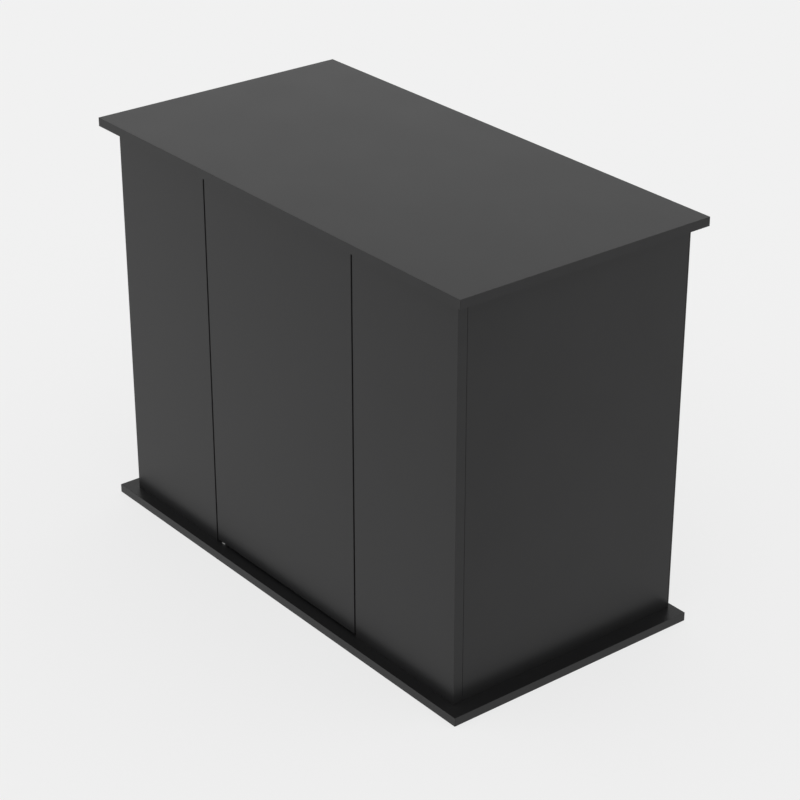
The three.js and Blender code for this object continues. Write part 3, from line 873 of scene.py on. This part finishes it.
CAM = shape("cam", cam_disc(), DIECAST)
CAM_BOLT = shape("bolt", cam_bolt(), PLATED, 40)
CONFIRMAT = shape("screw", confirmat(), PLATED, 40)
SHELF_PIN = shape("pin", shelf_pin(), NICKEL)
DOWEL = shape("fluted", fluted_dowel(), BEECH, 50)
CAM_TURNS = {"left_side": 0, "left_divider": 0, "right_divider": 180, "right_side": 180}
for upright, turn in CAM_TURNS.items():
    for end in ("front", "back"):
        fitted(CAM, f"cam_{upright}_{end}", turn)
        fitted(CAM_BOLT, f"cam_bolt_{upright}_{end}")
        fitted(CONFIRMAT, f"confirmat_{upright}_{end}")
for side, turn in (("left", 0), ("right", 180)):
    for end in ("front", "back"):
        fitted(SHELF_PIN, f"shelf_pin_{side}_{end}", turn)
for level in ("lower", "upper"):
    for i in range(1, 5):
        fitted(DOWEL, f"panel_dowel_{level}_{i}")


def nail():
    """The domed head of a panel pin and the top of its shank, along Y."""
    shank, head, dome, length = 0.7 * MM, 1.6 * MM, 0.45 * MM, 2 * MM
    profile = rounded(
        [(0, -length), (shank, -length), (shank + 0.05 * MM, -0.2 * MM), (head, 0),
         (head - 0.1 * MM, 0.3 * MM), (0, dome)],
        0.2 * MM,
    )
    return moved(centred(turned(profile, COARSE)), turn=-90, axis="X")


def back_nails():
    """Panel pins through the back sheets into the uprights' back edges."""
    low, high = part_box("back_centre")
    side = middle("right_side").x
    seam = 4.2 * MM  # from where two sheets meet
    inset, rows = 35 * MM, 5
    sunk = 0.7 * MM  # from the sheets' faces to the middle of a nail
    columns = [-side, side]
    columns += [edge + offset for edge in (low.x, high.x) for offset in (-seam, seam)]
    nails = bmesh.new()
    for x in columns:
        for row in range(rows):
            z = low.z + inset + (high.z - low.z - 2 * inset) * row / (rows - 1)
            added = add_to(nails, nail())
            bmesh.ops.translate(nails, verts=added, vec=(x, high.y - sunk, z))
    piece = bpy.data.objects.new("back_nails", mesh_data("nails", nails, [PLATED], 40))
    bpy.context.scene.collection.objects.link(piece)
    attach(piece, "carcass")


back_nails()


# ---- Floor, light and camera ------------------------------------------------------------------


FLOOR_GLOW = 0.72
FLOOR_SHADE = 0.2
FLOOR_CLEARANCE = 0.2 * MM
FLOOR_HALF = 30  # half the floor's width
FLOOR_TILES = 61  # in each direction, so that no tile is much larger than the cabinet
OVERHEAD, HORIZON = 0.795, 0.875  # brightness of the surround
HORIZON_RISE = 0.25  # sine of the elevation where the surround stops getting dimmer
KEY_POWER = 6.0
KEY_PLACE = (-2.5, -5.0, 4.0)
KEY_TARGET = (0, 0, 0.4)
KEY_SIZE = 4.0
SENSOR, LENS = 36, 105.23
CAMERA_PLACE = (2.9000, -2.2769, 2.1740)
CAMERA_AIM = (-0.6992, 0.5550, -0.4507)


def floor():
    """A pale floor that can be seen through from beneath, so that the underside shows."""
    mesh = bmesh.new()
    bmesh.ops.create_grid(mesh, x_segments=FLOOR_TILES, y_segments=FLOOR_TILES, size=FLOOR_HALF)
    bmesh.ops.translate(mesh, verts=mesh.verts, vec=(0, 0, -FLOOR_CLEARANCE))
    made = Surface("floor", Roughness=0.9, Specular_IOR_Level=0.0, Emission_Strength=FLOOR_GLOW)
    made.shader.inputs["Base Color"].default_value = (FLOOR_SHADE, FLOOR_SHADE, FLOOR_SHADE, 1)
    made.shader.inputs["Emission Color"].default_value = (1, 1, 1, 1)
    links = made.tree.links
    beneath = made.node("ShaderNodeNewGeometry").outputs["Backfacing"]
    clear = made.node("ShaderNodeBsdfTransparent")
    either = made.node("ShaderNodeMixShader")
    links.new(beneath, either.inputs["Fac"])
    links.new(made.shader.outputs["BSDF"], either.inputs[1])
    links.new(clear.outputs["BSDF"], either.inputs[2])
    links.new(either.outputs["Shader"], made.tree.nodes["Material Output"].inputs["Surface"])
    piece = bpy.data.objects.new("floor", mesh_data("floor", mesh, [made.material]))
    bpy.context.scene.collection.objects.link(piece)


def aimed(item, place, direction):
    """Links a lamp or a camera that looks along a direction."""
    item.location = place
    item.rotation_euler = Vector(direction).to_track_quat("-Z", "Y").to_euler()
    bpy.context.scene.collection.objects.link(item)


def key_light():
    data = bpy.data.lights.new("key", "AREA")
    data.shape = "SQUARE"
    data.size = KEY_SIZE
    data.energy = KEY_POWER
    lamp = bpy.data.objects.new("key", data)
    aimed(lamp, KEY_PLACE, Vector(KEY_TARGET) - Vector(KEY_PLACE))


def surroundings():
    """A pale surround, as bright as the floor where they meet and a little dimmer overhead."""
    world = bpy.data.worlds.new("studio")
    bpy.context.scene.world = world
    world.use_nodes = True
    tree = world.node_tree
    backdrop = tree.nodes["Background"]
    backdrop.inputs["Color"].default_value = (1, 1, 1, 1)
    upwards = tree.nodes.new("ShaderNodeSeparateXYZ")
    tree.links.new(tree.nodes.new("ShaderNodeTexCoord").outputs["Generated"], upwards.inputs[0])
    fade = tree.nodes.new("ShaderNodeMapRange")
    fade.interpolation_type = "SMOOTHSTEP"
    for socket, value in zip(fade.inputs[1:5], (0, HORIZON_RISE, HORIZON, OVERHEAD)):
        socket.default_value = value
    tree.links.new(upwards.outputs["Z"], fade.inputs["Value"])
    tree.links.new(fade.outputs["Result"], backdrop.inputs["Strength"])


def camera():
    data = bpy.data.cameras.new("camera")
    data.sensor_width = SENSOR
    data.lens = LENS
    eye = bpy.data.objects.new("camera", data)
    aimed(eye, CAMERA_PLACE, CAMERA_AIM)
    bpy.context.scene.camera = eye


floor()
surroundings()
key_light()
camera()
bpy.context.scene.view_settings.view_transform = "Standard"
